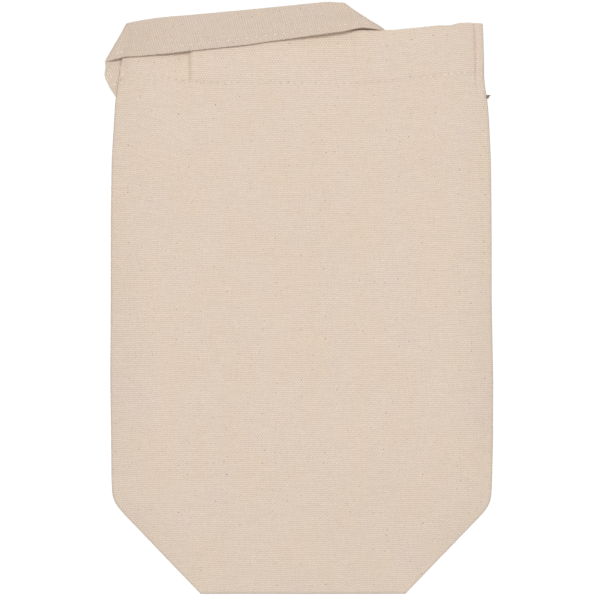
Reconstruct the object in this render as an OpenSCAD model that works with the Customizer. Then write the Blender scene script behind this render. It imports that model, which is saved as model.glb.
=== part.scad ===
// Canvas bottle bag, empty and laid flat on its back, with its front handle folded
// round the top left corner and its rear handle dropped inside the mouth.
// +X is to the right, +Y runs from the base up to the mouth, +Z is up from the table.

/* [Bag] */
// Width of the flat bag at its widest
bag_w = 204; // [170:1:230]
// Height from the folded base edge to the mouth
bag_h = 303.5; // [270:0.5:340]
// Width of the base, which is the bottom edge of the flat bag
base_w = 108.2; // [90:0.1:120]
// How far up each side the folded corner reaches
corner_rise = 50.4; // [42:0.2:56]
// Depth of the turned hem at the mouth
hem_d = 29; // [22:0.5:36]
// Thickness of one layer of canvas
cloth_t = 0.8; // [0.6:0.05:1]
// Room left between the two panels at the mouth
mouth_gap = 7; // [6.6:0.1:9]
// Width of a seam allowance inside the bag
seam_w = 7; // [5:0.5:9]
// Thickness of a seam allowance with its overlocked edge
seam_t = 1.2; // [0.8:0.1:1.4]
// Room inside a crease of the folded base
fold_gap = 0.4; // [0.3:0.05:0.5]

/* [Handles] */
// Width of the handle strap
strap_w = 18.7; // [15:0.1:21]
// Thickness of the handle strap
strap_t = 1.2; // [0.9:0.05:1.4]
// Distance between the middles of a handle's two sewn ends
handle_pitch = 87.2; // [80:0.2:92]
// How far the handles sit left of the bag's middle
handle_shift = 6; // [3:0.5:8]
// How far the right fold lies right of the bag's middle
right_fold_x = 33; // [29:0.5:37]
// Height of the right fold above the mouth
right_fold_up = 4.3; // [4:0.1:5.5]
// How far the middle of the left fold stands out past the bag's left side
left_fold_out = 5.8; // [5:0.1:8]
// Depth of the left fold below the mouth
left_fold_down = 9.3; // [8:0.1:11]
// Lean of the strap's short rise at the right, from upright
riser_lean = 19.3; // [15:0.5:24]
// Lean of the strap's run behind the bag, from upright
tail_lean = 25.5; // [20:0.5:30]
// Lean of the strap's way back up behind the bag, from upright
return_lean = 12; // [8:0.5:16]
// Depth to which the rear handle hangs inside the mouth
rear_drop = 104; // [90:1:115]

/* [Fit] */
// Clearance between pieces that move against each other
clear = 0.3; // [0.25:0.05:0.4]

/* [Hidden] */

// Half widths up the two sides, as shares of the height and of half the width
height_shares = [0.17, 0.27, 0.375, 0.69, 0.83, 0.86, 0.9, 0.94, 1];
left_width_shares = [0.985, 0.998, 1.003, 0.993, 0.982, 0.977, 0.959, 0.943, 0.88];
right_width_shares = [0.982, 0.993, 0.998, 0.987, 0.975, 0.967, 0.946, 0.945, 0.941];
// Share of the half width over which a panel slopes down to its side edge
rim_share = 0.28;
// Share of the folded corner's height over which its upper end turns into the side
corner_turn_share = 0.12;
// Share of the height up to which the bag lies flat on the table
rest_share = 0.3;
// Share of the height above which the bag lies level on the straps behind it
level_share = 0.69;
// Distance over which the front panel rounds off above the base edge
base_round = 60;
// How far the side edges lie above the underside of the back panel
edge_lift = 1.1;
// Air between layers of cloth that lie on each other
touch = 0.06;
// Middle lines of a handle's two sewn ends
left_end_x = -handle_shift - handle_pitch / 2;
right_end_x = -handle_shift + handle_pitch / 2;

// Levels above the table near the mouth, from the lowest layer up
tail_z = 0;
return_z = strap_t + clear;
level_z = return_z + strap_t + clear;
mouth_low_z = level_z + 2 * cloth_t;
front_in_z = level_z + cloth_t + mouth_gap;
mouth_high_z = front_in_z - cloth_t;
end_z = mouth_high_z - strap_t;
crossing_z = front_in_z + cloth_t + clear;

// Middle of each fold and directions of the strap's runs, in degrees from +X
right_fold = [right_fold_x, bag_h + right_fold_up];
left_fold_y = bag_h - left_fold_down;
left_fold = [-left_half(left_fold_y) - left_fold_out, left_fold_y];
crossing_dir = atan2(left_fold.y - right_fold.y, left_fold.x - right_fold.x);
riser_dir = 90 + riser_lean;
tail_dir = tail_lean - 90;
return_dir = 90 - return_lean;
right_crease = (riser_dir + crossing_dir + 360) / 2;
left_crease = (crossing_dir + tail_dir) / 2;
// The return starts where the strap comes over the back hem
return_top = [left_end_x, bag_h + strap_t / 2];
// Length of the run from the left fold to the low fold, where two straight runs meet
tail_len = cross2(return_top - left_fold, heading(return_dir)) / cross2(heading(tail_dir), heading(return_dir));
low_fold = left_fold + tail_len * heading(tail_dir);
low_crease = (tail_dir + return_dir) / 2;
// The low fold's middle as a hinge: half way between the tail's top and the return's underside
low_axis_z = (tail_z + strap_t + return_z) / 2;

// Middle of the whole part's box, which lies over the origin
box_mid_x = (crease_corner(left_fold, left_crease, crossing_dir, 1).x + right_half(0.375 * bag_h)) / 2;
box_mid_y = crease_corner(right_fold, right_crease, crossing_dir, -1).y / 2;

canvas = "#e6d8c4";
canvas_dark = "#d8c8b2";
webbing = "#ddcfbc";
thread = "#f2eadb";

function heading(a) = [cos(a), sin(a)];
function cross2(a, b) = a.x * b.y - a.y * b.x;
function mix(a, b, t) = a + (b - a) * t;
// Corner of a strap run where it meets a crease through the point p; side is 1 or -1
function crease_corner(p, crease, dir, side) =
    p + side * (strap_w / 2) / cross2(heading(dir), heading(crease)) * heading(crease);

// Zero at the base edge and one above the slanted corner, with a soft turn between the two
function corner_share(h) = let (s = h / corner_rise, turn = (s - 1) / corner_turn_share)
    turn < -1 ? s : turn > 1 ? 1 : 1 - corner_turn_share * pow(1 - turn, 2) / 4;
function pairs(a, b) = [for (i = [0:len(a) - 1]) [a[i], b[i]]];
function side_half(h, shares) = mix(base_w, bag_w * lookup(h / bag_h,
    pairs(height_shares, shares)), corner_share(h)) / 2;
function left_half(h) = side_half(h, left_width_shares);
function right_half(h) = side_half(h, right_width_shares);
// One in the level middle of a panel and zero along its side edge, in a straight line and rounded
function rim(x, h) = min(1, (1 - (x < 0 ? -x / left_half(h) : x / right_half(h))) / rim_share);
function round_rim(x, h) = 1 - pow(1 - rim(x, h), 2);
// One up to the top of the folded corners, falling to zero at twice their height
function above_corner(h) = min(1, max(0, 2 - h / corner_rise));
function rise_share(h) = min(1, max(0, h / bag_h - rest_share) / (level_share - rest_share));
function back_out(x, h) = level_z * rise_share(h) + edge_lift * (1 - rim(x, h)) * (1 - above_corner(h));
function back_in(x, h) = back_out(x, h) + cloth_t;
// Two layers of folded base lie between the panels along the base edge and the corners
fold_stack = 2 * cloth_t + fold_gap + 2 * touch;
function edge_gap(h) = fold_stack * above_corner(h);
function round_up(t) = sqrt(1 - pow(1 - min(1, t), 2));
function full_gap(h) = mix(fold_stack, front_in_z - back_in(0, h), round_up(h / base_round));
function front_in(x, h) = back_in(x, h) + mix(edge_gap(h), full_gap(h), round_rim(x, h));
function front_out(x, h) = front_in(x, h) + cloth_t;

// A sheet of cloth: a solid between two surfaces over the rows of heights hs, with the points
// of each row at the steps us, which x_at turns into places across the bag
module sheet(hs, us, x_at, z_low, z_high) {
    n = len(us);
    m = len(hs);
    spots = [for (h = hs) for (u = us) [x_at(u, h), h]];
    low = [for (s = spots) [s.x, s.y, z_low(s.x, s.y)]];
    high = [for (s = spots) [s.x, s.y, z_high(s.x, s.y)]];
    top = n * m;
    cells = [for (j = [0:m - 2]) for (i = [0:n - 2]) j * n + i];
    rim = concat([for (i = [0:n - 1]) i], [for (j = [1:m - 1]) j * n + n - 1],
        [for (i = [n - 2:-1:0]) (m - 1) * n + i], [for (j = [m - 2:-1:1]) j * n]);
    walls = [for (k = [0:len(rim) - 1]) [rim[k], rim[(k + 1) % len(rim)]]];
    polyhedron(concat(low, high), concat(
        [for (c = cells) each [[c, c + 1, c + n + 1], [c, c + n + 1, c + n]]],
        [for (c = cells) each [[top + c, top + c + n + 1, top + c + 1], [top + c, top + c + n, top + c + n + 1]]],
        [for (w = walls) each [[w[0], top + w[0], w[1]], [w[1], top + w[0], top + w[1]]]]
    ), convexity = 6);
}

// A run of strap: each station is the strap's two edges, each a point on its underside
module strap(stations) {
    n = len(stations);
    low = [for (s = stations) each [s[0], s[1]]];
    high = [for (p = low) p + [0, 0, strap_t]];
    up = 2 * n;
    last = 2 * n - 2;
    polyhedron(concat(low, high), concat(
        [for (k = [0:2:last - 2]) each [[k, k + 1, k + 3], [k, k + 3, k + 2]]],
        [for (k = [0:2:last - 2]) each [[up + k, up + k + 3, up + k + 1], [up + k, up + k + 2, up + k + 3]]],
        [for (k = [0:2:last - 2]) each [[k, k + 2, up + k], [k + 2, up + k + 2, up + k]]],
        [for (k = [1:2:last - 1]) each [[k, up + k, k + 2], [k + 2, up + k, up + k + 2]]],
        [[0, up, 1], [1, up, up + 1], [last, last + 1, up + last], [last + 1, up + last + 1, up + last]]
    ), convexity = 4);
}

function lift(p, z) = [p.x, p.y, z];

// Puts the bag's own frame, with its middle line on Y and its base edge on X, in the part's frame
module place() {
    translate([-box_mid_x, -box_mid_y, 0]) children();
}

// Steps across a panel run from -1 at its left side edge to 1 at its right
rim_step = 1 - rim_share;
// The hems end half way down the rim
hem_reach = 1 - rim_share / 2;
right_hem_steps = [rim_step, mix(rim_step, hem_reach, 0.5), hem_reach];
right_rim_steps = concat(right_hem_steps, [mix(hem_reach, 1, 0.5), mix(hem_reach, 1, 0.8), 1]);
function both_sides(steps) = concat([for (i = [len(steps) - 1:-1:0]) -steps[i]], [0], steps);
panel_steps = both_sides(right_rim_steps);
hem_steps = both_sides(right_hem_steps);
corner_rows = [for (s = [0, 0.02, 0.06, 0.16, 0.32, 0.56, 0.78, 0.88, 0.94, 1, 1.06, 1.12]) s * corner_rise];
hem_rows = [bag_h - hem_d, 0.94 * bag_h, bag_h];
side_rows = [for (s = [0.375, 0.53, 0.69, 0.83, 0.86, 0.9]) s * bag_h];
panel_rows = concat(corner_rows, [base_round, rest_share * bag_h, 2 * corner_rise], side_rows, hem_rows);
across_panel = function(u, h) u < 0 ? u * left_half(h) : u * right_half(h);

module front_panel() {
    color(canvas) place() sheet(panel_rows, panel_steps, across_panel,
        function(x, h) front_in(x, h), function(x, h) front_out(x, h));
}

module back_panel() {
    color(canvas) place() sheet(panel_rows, panel_steps, across_panel,
        function(x, h) back_out(x, h), function(x, h) back_in(x, h));
}

// The hems are the panels' own cloth, turned to the inside at the mouth
module front_hem() {
    color(canvas_dark) place() sheet(hem_rows, hem_steps, across_panel,
        function(x, h) front_in(x, h) - touch - cloth_t, function(x, h) front_in(x, h) - touch);
}

module back_hem() {
    color(canvas_dark) place() sheet(hem_rows, hem_steps, across_panel,
        function(x, h) back_in(x, h) + touch, function(x, h) back_in(x, h) + touch + cloth_t);
}

// Two layers of cloth joined by a crease along their upper edge
module folded_pair(rows, x_at) {
    top_row = rows[len(rows) - 1];
    steps = [0, 1];
    z0 = cloth_t + touch;
    z1 = z0 + cloth_t;
    z2 = z1 + fold_gap;
    z3 = z2 + cloth_t;
    sheet(rows, steps, x_at, function(x, h) z0, function(x, h) z1);
    sheet(rows, steps, x_at, function(x, h) z2, function(x, h) z3);
    sheet([top_row - 2 * cloth_t, top_row], steps, x_at, function(x, h) z0, function(x, h) z3);
}

base_half = base_w / 2 - clear;
tuck_rows = [for (s = [0.06, 0.97]) s * corner_rise];

// The base is folded up between the panels, creased along its middle
module base_panel() {
    rows = [for (s = [0, 0.97]) s * corner_rise];
    color(canvas_dark) place() folded_pair(rows, function(u, h) mix(-base_half, base_half, u));
}

// Each corner of the gusset is a triangle folded in beside the base
module left_base_corner() {
    color(canvas_dark) place() folded_pair(tuck_rows,
        function(u, h) mix(-left_half(h), -base_w / 2 - clear, u));
}

module right_base_corner() {
    color(canvas_dark) place() folded_pair(tuck_rows,
        function(u, h) mix(base_w / 2 + clear, right_half(h), u));
}

// The allowance of the seam across a boxed corner lies on the folded base, inside the bag
module base_seam(x_low) {
    rows = [for (s = [0.16, 0.97]) s * corner_rise];
    seat_z = cloth_t + fold_stack;
    place() sheet(rows, [0, 1], function(u, h) x_low + u * seam_w,
        function(x, h) seat_z, function(x, h) seat_z + seam_t);
}

module left_base_seam() {
    color(thread) base_seam(-base_half);
}

module right_base_seam() {
    color(thread) base_seam(base_half - seam_w);
}

// The allowance of a side seam lies between the panels, where they have room for it
seam_rows = concat([2 * corner_rise], side_rows, [bag_h - hem_d - clear]);
function seam_reach(h) = 1 - rim_share * (1 - sqrt(1 - (seam_t + 6 * touch) / full_gap(h)));

module side_seam(x_at) {
    place() sheet(seam_rows, [0, 1], x_at,
        function(x, h) back_in(x, h) + touch, function(x, h) back_in(x, h) + touch + seam_t);
}

module left_side_seam() {
    color(thread) side_seam(function(u, h) -left_half(h) * seam_reach(h) + u * seam_w);
}

module right_side_seam() {
    color(thread) side_seam(function(u, h) right_half(h) * seam_reach(h) + (u - 1) * seam_w);
}

// An upright end of a handle strap, sewn to the inside of a hem from its lower edge to the mouth
module sewn_end(x, z) {
    translate([x - strap_w / 2, bag_h - hem_d, z]) cube([strap_w, hem_d, strap_t]);
}

module front_handle_right_end() {
    color(webbing) place() sewn_end(right_end_x, end_z - 2 * touch);
}

// At the left the front handle comes out of the mouth and goes over the back hem
module front_handle_left_end() {
    color(webbing) place() {
        sewn_end(left_end_x, end_z - 2 * touch);
        translate([left_end_x - strap_w / 2, bag_h, level_z])
            cube([strap_w, strap_t, mouth_high_z - level_z - 2 * touch]);
    }
}

module rear_handle_left_end() {
    color(webbing) place() sewn_end(left_end_x, mouth_low_z + 2 * touch);
}

module rear_handle_right_end() {
    color(webbing) place() sewn_end(right_end_x, mouth_low_z + 2 * touch);
}

// The short rise out of the mouth to the right fold; it swings on its lower edge
riser_foot = bag_h + strap_t / 2 + clear / 2;
riser_top_z = crossing_z - clear - strap_t;

module front_handle_riser() {
    left = crease_corner(right_fold, right_crease, riser_dir, 1);
    right = crease_corner(right_fold, right_crease, riser_dir, -1);
    back = strap_w * heading(riser_dir);
    function rise_z(p) = mix(end_z, riser_top_z, (p.y - riser_foot) / (left.y - riser_foot));
    function on_rise(p) = lift(p, rise_z(p));
    color(webbing) place() intersection() {
        strap([[on_rise(right - back), on_rise(left - back)], [on_rise(right), on_rise(left)]]);
        translate([0, riser_foot, 0]) cube([bag_w, bag_h, bag_h]);
    }
}

// The run across the front. Past the level part it comes down over the bag's rim, clear of the
// front panel, to the left fold at the bag's edge.
over_rim_shares = [0, 0.7, 0.74, 0.78, 0.82, 0.86, 0.9, 0.93];
upper_edge_share = 0.973;
lower_edge_share = 0.952;
edge_top_z = level_z + edge_lift + 2 * cloth_t;
left_fold_z = edge_top_z - strap_t / 2;
// The strap clears the rounded rim as it stands this far further in
reach_in = 3;
function over_front(p) = let (h = min(p.y, bag_h))
    max(front_out(max(p.x + reach_in, -left_half(h)), h) + clear, edge_top_z + 2 * clear);

module front_handle_crossing() {
    upper = [crease_corner(right_fold, right_crease, crossing_dir, -1),
        crease_corner(left_fold, left_crease, crossing_dir, -1)];
    lower = [crease_corner(right_fold, right_crease, crossing_dir, 1),
        crease_corner(left_fold, left_crease, crossing_dir, 1)];
    upper_spots = [for (s = over_rim_shares) mix(upper[0], upper[1], s)];
    lower_spots = [for (s = over_rim_shares) mix(lower[0], lower[1], s)];
    color(webbing) place() strap(concat(
        [for (i = [0:len(over_rim_shares) - 1])
            [lift(upper_spots[i], over_front(upper_spots[i])), lift(lower_spots[i], over_front(lower_spots[i]))]],
        [[lift(mix(upper[0], upper[1], upper_edge_share), edge_top_z + 2 * clear),
            lift(mix(lower[0], lower[1], lower_edge_share), edge_top_z + 2 * clear)],
        [lift(upper[1], left_fold_z), lift(lower[1], left_fold_z)]]
    ));
}

// The run behind the bag from the left fold down to the low fold
tail_flat_share = 0.4;

module front_handle_tail() {
    outer = [crease_corner(left_fold, left_crease, tail_dir, -1),
        crease_corner(low_fold, low_crease, tail_dir, -1)];
    inner = [crease_corner(left_fold, left_crease, tail_dir, 1),
        crease_corner(low_fold, low_crease, tail_dir, 1)];
    color(webbing) place() strap([
        [lift(outer[0], left_fold_z - clear - strap_t), lift(inner[0], level_z - strap_t)],
        [lift(mix(outer[0], outer[1], tail_flat_share), tail_z), lift(mix(inner[0], inner[1], tail_flat_share), tail_z)],
        [lift(outer[1], tail_z), lift(inner[1], tail_z)]
    ]);
}

// The run behind the bag from the low fold back up to the mouth
module front_handle_return() {
    low_a = crease_corner(low_fold, low_crease, return_dir, 1);
    low_b = crease_corner(low_fold, low_crease, return_dir, -1);
    step = heading(return_dir) / sin(return_dir);
    color(webbing) place() strap([
        [lift(low_a, return_z), lift(low_b, return_z)],
        [lift(low_a + step * (return_top.y - low_a.y), return_z),
            lift(low_b + step * (return_top.y - low_b.y), return_z)]
    ]);
}

// The rear handle is turned down into the mouth and hangs against the back panel
loop_top_z = mouth_low_z + strap_t + 3 * touch;
loop_low_z = level_z + cloth_t + clear / 2;
loop_settle_share = 0.7;

module rear_handle_loop() {
    half = strap_w / 2;
    low_y = bag_h - rear_drop;
    settle_y = bag_h - loop_settle_share * rear_drop;
    hem_y = bag_h - hem_d - clear;
    color(webbing) place() union() {
        for (side = [-1, 1]) {
            x = side < 0 ? left_end_x : right_end_x;
            strap([
                [[x + half, bag_h, loop_top_z], [x - half, bag_h, loop_top_z]],
                [[x + half, hem_y, loop_top_z], [x - half, hem_y, loop_top_z]],
                [[x + half, settle_y, loop_low_z], [x - half, settle_y, loop_low_z]],
                [[x + half, low_y - half, loop_low_z], [x - half, low_y - half, loop_low_z]]
            ]);
        }
        translate([left_end_x, low_y - half, loop_low_z]) cube([handle_pitch, strap_w, strap_t]);
    }
}

front_panel();
back_panel();
base_panel();
left_base_corner();
right_base_corner();
left_base_seam();
right_base_seam();
left_side_seam();
right_side_seam();
front_hem();
back_hem();
front_handle_right_end();
front_handle_riser();
front_handle_crossing();
front_handle_tail();
front_handle_return();
front_handle_left_end();
rear_handle_left_end();
rear_handle_right_end();
rear_handle_loop();
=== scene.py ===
"""A natural canvas bottle bag, empty and lying flat on its back, seen from straight above."""
import math
import random

import bmesh
import bpy
from mathutils import Matrix, Vector, noise


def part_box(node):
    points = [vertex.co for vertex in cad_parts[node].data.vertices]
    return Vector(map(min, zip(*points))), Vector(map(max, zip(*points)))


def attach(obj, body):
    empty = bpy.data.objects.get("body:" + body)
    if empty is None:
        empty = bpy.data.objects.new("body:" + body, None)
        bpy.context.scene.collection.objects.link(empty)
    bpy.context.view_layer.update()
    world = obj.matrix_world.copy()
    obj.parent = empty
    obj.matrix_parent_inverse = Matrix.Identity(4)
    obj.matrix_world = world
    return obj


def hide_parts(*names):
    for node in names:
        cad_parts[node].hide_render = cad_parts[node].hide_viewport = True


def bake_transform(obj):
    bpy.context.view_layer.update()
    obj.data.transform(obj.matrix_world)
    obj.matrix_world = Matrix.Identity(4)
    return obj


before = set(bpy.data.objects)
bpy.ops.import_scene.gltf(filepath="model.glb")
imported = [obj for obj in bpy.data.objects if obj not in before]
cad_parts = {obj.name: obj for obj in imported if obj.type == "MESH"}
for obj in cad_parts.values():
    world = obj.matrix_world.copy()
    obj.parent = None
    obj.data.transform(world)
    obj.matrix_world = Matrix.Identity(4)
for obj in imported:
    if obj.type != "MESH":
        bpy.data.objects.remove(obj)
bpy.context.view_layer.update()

# Front panel. One piece of unbleached cotton canvas, cut with the warp running up the bag. Its top
# is turned to the inside as a deep hem, and its base and side edges roll over to the back.
MM = 0.001
CLOTH = 0.8 * MM
front_low, front_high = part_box("front_panel")
base_low, base_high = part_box("base_panel")
middle_x = (base_low.x + base_high.x) / 2
base_y = front_low.y
bag_height = front_high.y - base_y
front_top_z = front_high.z
# Half widths to the left and to the right, at heights above the base edge, in millimetres
side_stations = [
    (0, 53.9, 55.4), (45.5, 97.6, 99.1), (50.9, 100.9, 101.1), (60, 101.4, 101.5), (82, 101.7, 102.1),
    (114, 102.1, 102.2), (157, 101.7, 101.2), (200, 101.5, 101.0), (232, 101.0, 100.6), (253, 99.7, 99.6),
    (262, 99.2, 98.9), (270, 98.1, 97.6), (275, 97.5, 97.1), (285, 96.2, 97.0), (303.5, 89.8, 96.4),
]
# The corners of that outline are softened over this many millimetres
corner_softness = 3.0
hem_depth = 29 * MM
hem_line = 278 * MM
# How far the mouth's slack edge hangs, at distances from the middle, in millimetres
mouth_sag = [(0, 4.2), (45, 4.2), (50, 4.0), (56, 3.3), (63, 2.7), (72, 1.7), (79, 1.5), (84, 0.0),
             (90, -0.5), (110, -0.5)]
# The same for the hem's stitching, at places from the middle
hem_line_sag = [(-92, 0), (-60, 5.6), (-20, 6.3), (30, 6.2), (52, 4.9), (92, -0.4)]
# The cloth hangs slack from this share of its height up
slack_from = 0.45
panel_columns = 190
panel_rows = 190
turn_rows = 8
inner_rows = 20
front_rows = panel_rows + turn_rows + inner_rows
# How much the grid's points crowd towards the cloth's edges, across it and up it
crowd_across, crowd_up = 0.6, 0.45


def ease(t):
    """Goes smoothly from 0 to 1 as t does, and stays there outside."""
    t = min(1.0, max(0.0, t))
    return t * t * (3 - 2 * t)


def bump(distance, width):
    """1 at no distance, fading to a third at the width."""
    return math.exp(-((distance / width) ** 2))


def blend_values(a, b, t):
    return a + (b - a) * t


def along(stations, at, column):
    """Value of one column of a list of stations, at a place between them."""
    if at <= stations[0][0]:
        return stations[0][column]
    for low, high in zip(stations, stations[1:]):
        if at <= high[0]:
            return blend_values(low[column], high[column], (at - low[0]) / (high[0] - low[0]))
    return stations[-1][column]


def crowd(s, amount):
    """Moves evenly spaced places from -1 to 1 towards both ends."""
    return (1 - amount) * s + amount * math.sin(math.pi * s / 2)


def half_width(height, side):
    """Half width of the bag on one side at a height above its base edge, with soft corners."""
    column = 1 if side < 0 else 2
    at = height / MM
    window = min(corner_softness, at + 0.01)
    steps = (-1, -0.5, 0, 0.5, 1)
    return MM * sum(along(side_stations, at + s * window, column) for s in steps) / len(steps)


# How the bag lies: its back is flat on the table up to one share of its height and level on the
# straps behind it from another, its rim is thin, and the folded corners are thicker
back_rest_share = 0.3
back_level_share = 0.69
back_level = front_top_z - 8.6 * MM
edge_lift = 1.1 * MM
fold_stack = 2.12 * MM
corner_rise = 50.4 * MM
rim_share = 0.28
rim_roundness = 1.8
base_round = 90 * MM
base_roundness = 1.6


def corner_share(height):
    """1 up to the top of the slanted corners, fading to 0 at twice that height."""
    return min(1.0, max(0.0, 2 - height / corner_rise))


def back_z(share, height):
    """Underside of the bag: flat on the table below, and lying on the straps behind it above."""
    climb = (height / bag_height - back_rest_share) / (back_level_share - back_rest_share)
    rim = min(1.0, (1 - share) / rim_share)
    return back_level * min(1.0, max(0.0, climb)) + edge_lift * (1 - rim) * (1 - corner_share(height))


def front_z(share, height):
    """Upper face of the bag at a share of its half width and a height above the base edge."""
    rim = min(1.0, max(0.0, 1 - share) / rim_share)
    rim = 1 - (1 - rim) ** rim_roundness
    low = back_z(1, height) + 2 * CLOTH + fold_stack * corner_share(height)
    swell = 1 - (1 - min(1.0, max(0.0, height) / base_round)) ** base_roundness
    middle = blend_values(2 * CLOTH + fold_stack, front_top_z, swell)
    return blend_values(low, max(low, middle), rim)


def sag(x, cloth_height):
    """How far the slack front hangs below its place at the side edges, near the mouth."""
    at_mouth = along(mouth_sag, abs(x - middle_x) / MM, 1) * MM
    at_line = along(hem_line_sag, (x - middle_x) / MM, 1) * MM
    if cloth_height > hem_line:
        return blend_values(at_line, at_mouth, (cloth_height - hem_line) / (bag_height - hem_line))
    return at_line * ease((cloth_height - slack_from * bag_height) / (hem_line - slack_from * bag_height))


# The hem's edge shows as a step along its stitching, which draws the cloth down in a narrow dip
hem_step = 0.5 * MM
hem_step_width = 2.0 * MM
hem_step_fade = 6 * MM
stitch_dip = 0.25 * MM
stitch_dip_width = 0.9 * MM
# The two handle ends inside the hem lift it a little. The cloth falls off to the left of each by the
# depth given here, and is drawn in below the stitching that holds it
left_end_low, left_end_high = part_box("front_handle_left_end")
right_end_low, right_end_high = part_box("front_handle_right_end")
handle_ends = ((left_end_low, left_end_high, 2.5 * MM), (right_end_low, right_end_high, 0.7 * MM))
end_press = 0.2 * MM
press_edge = 2.4 * MM
press_start, press_middle = 0.8, 0.5
fall_reach = 15 * MM
draw_depth = 0.45 * MM
draw_below = 2.4 * MM
draw_height = 2.2 * MM
draw_edge = 3 * MM
# The right seam's allowance makes a groove inside the edge, deep in the hem and faint below it, and
# the left edge is hollow beside the handle
seam_inset = 4.45 * MM
seam_groove = 1.5 * MM
seam_groove_width = 0.55 * MM
seam_groove_below = 0.06
seam_fade_start = 14 * MM
seam_fade = 16 * MM
left_hollow = 0.9 * MM
left_hollow_width = 4.0 * MM
left_hollow_from = 264 * MM
left_hollow_fade = 14 * MM
# Broad waves of slack cloth
wave_size = (46 * MM, 70 * MM)
wave_height = 0.35 * MM


def front_relief(x, cloth_height):
    """What presses through the cloth: the hem, its stitching, the handle ends and the side seam."""
    above = ease((cloth_height - hem_line + hem_step_width / 2) / hem_step_width)
    relief = hem_step * (above - 1) * bump(max(0.0, hem_line - cloth_height), hem_step_fade)
    relief -= stitch_dip * bump(cloth_height - hem_line, stitch_dip_width)
    for low, high, fall in handle_ends:
        inside = ease((x - low.x) / press_edge + press_start) * ease((high.x - x) / press_edge + press_middle)
        relief += end_press * inside * above
        drawn = bump(cloth_height - hem_line + draw_below, draw_height) * ease((x - low.x) / draw_edge)
        relief -= draw_depth * drawn * ease((high.x - x) / draw_edge)
        beside = 1 - ease((x - low.x) / press_edge + press_middle)
        relief -= fall * beside * bump(min(0.0, x - low.x), fall_reach) * above
    seam_x = middle_x + half_width(cloth_height, 1) - seam_inset
    in_hem = ease((cloth_height - hem_line + seam_fade_start) / seam_fade)
    relief -= seam_groove * bump(x - seam_x, seam_groove_width) * blend_values(seam_groove_below, 1, in_hem)
    left_edge = middle_x - half_width(cloth_height, -1)
    by_handle = ease((cloth_height - left_hollow_from) / left_hollow_fade)
    relief -= left_hollow * bump(x - left_edge, left_hollow_width) * by_handle
    return relief + wave_height * noise.noise(Vector((x / wave_size[0], cloth_height / wave_size[1], 0.3)))


def on_front(x, cloth_height):
    """Point of the front panel's upper face at a place of its cloth."""
    side = -1 if x < middle_x else 1
    share = min(1.0, abs(x - middle_x) / half_width(cloth_height, side))
    height = cloth_height - sag(x, cloth_height)
    return Vector((x, base_y + height, front_z(share, height) + front_relief(x, cloth_height)))


# The edges' roll: how far in it reaches, how deep it goes as a share of that, how much of a distance
# counts at the sides, and how far outside the base edge it starts
edge_roll = 1.4 * MM
roll_depth = 0.75
roll_at_sides = 0.85
roll_at_base = 0.2 * MM
# The hem's turn leaves a little room between its layers, and its inner layer is narrower
turn_radius = (CLOTH + 0.06 * MM) / 2
hem_narrower = 0.6 * MM


def front_place(u, v):
    """Place of the front panel's middle layer, and its place on the flat cloth."""
    row = (v + 1) / 2 * front_rows
    side = -1 if u < 0 else 1
    share = abs(crowd(u, crowd_across))
    if row <= panel_rows:
        t = (crowd(row / panel_rows * 2 - 1, crowd_up) + 1) / 2
        cloth_height = t * bag_height
        turn = 0.0
    else:
        turn = min(1.0, (row - panel_rows) / turn_rows)
        down = max(0.0, row - panel_rows - turn_rows) / inner_rows
        cloth_height = bag_height - down * hem_depth
    width = half_width(cloth_height, side)
    x = middle_x + side * share * width
    height = cloth_height - sag(x, cloth_height)
    z = front_z(share, height) - CLOTH / 2 + front_relief(x, min(cloth_height, bag_height))
    edge = min(height + roll_at_base, (1 - share) * width * roll_at_sides)
    if edge < edge_roll and not turn:
        z -= edge_roll * roll_depth * (1 - math.sqrt(1 - (1 - max(0.0, edge) / edge_roll) ** 2))
    if turn:
        z -= turn_radius * (1 - math.cos(math.pi * turn))
        height += turn_radius * math.sin(math.pi * turn) - turn_radius
        x = middle_x + side * share * (width - turn * hem_narrower)
    else:
        height = min(height, bag_height - sag(x, bag_height) - CLOTH / 2)
    flat_height = cloth_height if not turn else 2 * bag_height - cloth_height + turn * CLOTH
    return (x, base_y + height, z), (x - middle_x, flat_height)


def add_object(name, data):
    thing = bpy.data.objects.new(name, data)
    bpy.context.scene.collection.objects.link(thing)
    return thing


def smooth_object(name, shape, material):
    """Ends a bmesh as a smooth object of one material."""
    for face in shape.faces:
        face.smooth = True
    mesh = bpy.data.meshes.new(name)
    shape.to_mesh(mesh)
    shape.free()
    mesh.materials.append(material)
    return add_object(name, mesh)


def grid_piece(name, columns, rows, place, thickness, material, body="bag", edge_bevel=0.0):
    """A sheet shaped from a flat grid: place gives each point's place and its place on the flat cloth."""
    shape = bmesh.new()
    bmesh.ops.create_grid(shape, x_segments=columns, y_segments=rows, size=1)
    flat = shape.loops.layers.uv.new("cloth")
    spots = {}
    for vert in shape.verts:
        vert.co, spots[vert] = place(vert.co.x, vert.co.y)
    for face in shape.faces:
        for loop in face.loops:
            loop[flat].uv = spots[loop.vert]
    piece = smooth_object(name, shape, material)
    wall = piece.modifiers.new("cloth thickness", "SOLIDIFY")
    wall.thickness = thickness
    wall.offset = 0
    if edge_bevel:
        soften = piece.modifiers.new("soft edges", "BEVEL")
        soften.width = edge_bevel
        soften.segments = 3
        soften.limit_method = "ANGLE"
        soften.angle_limit = math.radians(50)
    if body:
        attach(piece, body)
    return piece


def linear(code):
    """Linear colour of an sRGB hex value."""
    parts = [int(code[i:i + 2], 16) / 255 for i in (1, 3, 5)]
    return [p / 12.92 if p <= 0.04045 else ((p + 0.055) / 1.055) ** 2.4 for p in parts] + [1.0]


def new_material(name, finish):
    """A material and its surface shader, with the shader's own values set."""
    material = bpy.data.materials.new(name)
    material.use_nodes = True
    surface = material.node_tree.nodes["Principled BSDF"]
    for socket, value in finish.items():
        surface.inputs[socket].default_value = value
    return material, surface


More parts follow.
